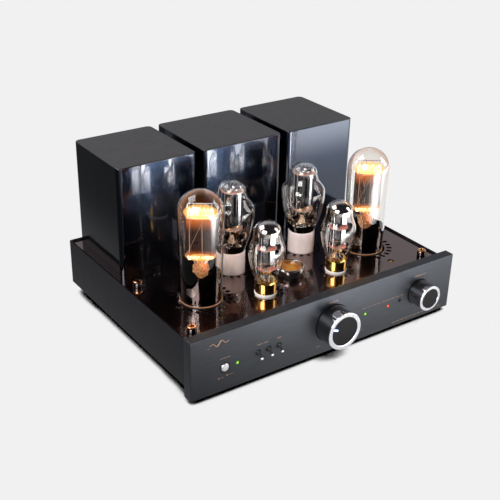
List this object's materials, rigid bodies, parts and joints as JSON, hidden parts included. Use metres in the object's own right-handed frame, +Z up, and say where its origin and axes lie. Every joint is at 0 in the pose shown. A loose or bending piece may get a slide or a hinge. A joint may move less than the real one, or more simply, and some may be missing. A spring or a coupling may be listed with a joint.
{
  "type": "tube amplifier",
  "caption": "Integrated tube amplifier with plug-in glass tubes on a gloss deck, boxed transformers behind, a bias meter and turning chrome knobs on a thick front plate.",
  "frame": {"origin": "on the floor under the centre of the bounding box", "axes": "+X along the front plate to its right end seen from the front, +Y to the back, +Z up"},
  "size_m": [0.42, 0.378, 0.2259],
  "materials": {
    "front_plate": "satin",
    "chassis_metal": "satin",
    "deck_gloss": "gloss",
    "cover_gloss": "gloss",
    "potted_core": "matte",
    "chrome": "polished",
    "tube_glass": "gloss",
    "glowing_anode": "satin",
    "white_ceramic": "satin",
    "gold_base": "polished",
    "socket_ceramic": "matte",
    "circuit_board": "satin",
    "switch_steel": "satin",
    "black_plastic": "matte",
    "red_plastic": "gloss",
    "foot_rubber": "matte",
    "lens_glass": "gloss",
    "needle_metal": "matte"
  },
  "bodies": {
    "amplifier": {"front_plate": "front_plate", "left_side_panel": "chassis_metal", "right_side_panel": "chassis_metal", "rear_panel": "chassis_metal", "bottom_cover": "chassis_metal", "top_deck": "deck_gloss", "foot_front_left": "foot_rubber", "foot_front_right": "foot_rubber", "foot_rear_left": "foot_rubber", "foot_rear_right": "foot_rubber", "transformer_cover_left": "cover_gloss", "transformer_cover_center": "cover_gloss", "transformer_cover_right": "cover_gloss", "output_transformer_left": "potted_core", "mains_transformer": "potted_core", "output_transformer_right": "potted_core", "power_tube_glass_left": "tube_glass", "power_tube_glass_right": "tube_glass", "driver_tube_glass_left": "tube_glass", "driver_tube_glass_right": "tube_glass", "signal_tube_glass_left": "tube_glass", "signal_tube_glass_right": "tube_glass", "power_tube_base_left": "glowing_anode", "power_tube_base_right": "glowing_anode", "driver_tube_base_left": "white_ceramic", "driver_tube_base_right": "white_ceramic", "signal_tube_base_left": "gold_base", "signal_tube_base_right": "gold_base", "power_tube_socket_left": "socket_ceramic", "power_tube_socket_right": "socket_ceramic", "driver_board": "circuit_board", "control_board": "circuit_board", "power_supply_board": "circuit_board", "meter_housing": "chrome", "cage_stud_front_left": "chrome", "cage_stud_front_right": "chrome", "cage_stud_rear_left": "chrome", "cage_stud_rear_right": "chrome", "meter_lens": "lens_glass", "volume_potentiometer": "switch_steel", "selector_switch": "switch_steel", "speaker_terminal_board": "black_plastic", "input_jack_strip": "black_plastic", "iec_inlet": "black_plastic"},
    "volume_control": {"volume_knob": "chrome"},
    "selector_control": {"selector_knob": "chrome"},
    "power_key": {"power_button": "chrome"},
    "toggle_1": {"toggle_lever_1": "chrome"},
    "toggle_2": {"toggle_lever_2": "chrome"},
    "toggle_3": {"toggle_lever_3": "chrome"},
    "needle": {"meter_needle": "needle_metal"},
    "trimmer_left": {"bias_trimmer_left": "gold_base"},
    "trimmer_right": {"bias_trimmer_right": "gold_base"},
    "fuse": {"fuse_cap": "black_plastic"},
    "post_left_common": {"speaker_post_left_common": "black_plastic"},
    "post_left_low": {"speaker_post_left_low": "red_plastic"},
    "post_left_high": {"speaker_post_left_high": "red_plastic"},
    "post_right_common": {"speaker_post_right_common": "black_plastic"},
    "post_right_low": {"speaker_post_right_low": "red_plastic"},
    "post_right_high": {"speaker_post_right_high": "red_plastic"}
  },
  "joints": [
    {"name": "volume_turn", "type": "hinge", "parent": "amplifier", "child": "volume_control", "pos_m": [0, -0.1628, 0.0469], "axis": [0, -1, 0], "range_deg": [-218, 82]},
    {"name": "selector_turn", "type": "hinge", "parent": "amplifier", "child": "selector_control", "pos_m": [0.1492, -0.1628, 0.0469], "axis": [0, -1, 0], "range_deg": [-60, 60]},
    {"name": "power_press", "type": "slide", "parent": "amplifier", "child": "power_key", "axis": [0, 1, 0], "range_m": [0, 0.0028], "stiffness_N_per_m": 350, "springref_m": -0.002},
    {"name": "toggle_flip_1", "type": "hinge", "parent": "amplifier", "child": "toggle_1", "pos_m": [-0.1137, -0.1618, 0.0422], "axis": [-1, 0, 0], "range_deg": [0, 56]},
    {"name": "toggle_flip_2", "type": "hinge", "parent": "amplifier", "child": "toggle_2", "pos_m": [-0.0983, -0.1618, 0.0422], "axis": [-1, 0, 0], "range_deg": [0, 56]},
    {"name": "toggle_flip_3", "type": "hinge", "parent": "amplifier", "child": "toggle_3", "pos_m": [-0.0831, -0.1618, 0.0422], "axis": [-1, 0, 0], "range_deg": [0, 56]},
    {"name": "needle_swing", "type": "hinge", "parent": "amplifier", "child": "needle", "pos_m": [0, -0.0793, 0.0698], "axis": [0, 0, -1], "range_deg": [0, 76], "stiffness_Nm_per_rad": 0.00001},
    {"name": "trimmer_turn_left", "type": "hinge", "parent": "amplifier", "child": "trimmer_left", "pos_m": [-0.1375, -0.1178, 0.07], "axis": [0, 0, -1], "range_deg": [-135, 135]},
    {"name": "trimmer_turn_right", "type": "hinge", "parent": "amplifier", "child": "trimmer_right", "pos_m": [0.1375, -0.1178, 0.07], "axis": [0, 0, -1], "range_deg": [-135, 135]},
    {"name": "post_turn_left_common", "type": "hinge", "parent": "amplifier", "child": "post_left_common", "pos_m": [-0.172, 0.18, 0.046], "axis": [0, 1, 0], "range_deg": [-180, 180]},
    {"name": "post_turn_left_low", "type": "hinge", "parent": "amplifier", "child": "post_left_low", "pos_m": [-0.148, 0.18, 0.046], "axis": [0, 1, 0], "range_deg": [-180, 180]},
    {"name": "post_turn_left_high", "type": "hinge", "parent": "amplifier", "child": "post_left_high", "pos_m": [-0.124, 0.18, 0.046], "axis": [0, 1, 0], "range_deg": [-180, 180]},
    {"name": "post_turn_right_common", "type": "hinge", "parent": "amplifier", "child": "post_right_common", "pos_m": [-0.088, 0.18, 0.046], "axis": [0, 1, 0], "range_deg": [-180, 180]},
    {"name": "post_turn_right_low", "type": "hinge", "parent": "amplifier", "child": "post_right_low", "pos_m": [-0.064, 0.18, 0.046], "axis": [0, 1, 0], "range_deg": [-180, 180]},
    {"name": "post_turn_right_high", "type": "hinge", "parent": "amplifier", "child": "post_right_high", "pos_m": [-0.04, 0.18, 0.046], "axis": [0, 1, 0], "range_deg": [-180, 180]},
    {"name": "fuse_turn", "type": "hinge", "parent": "amplifier", "child": "fuse", "pos_m": [0.121, 0.172, 0.046], "axis": [0, 1, 0], "range_deg": [-45, 0]}
  ]
}
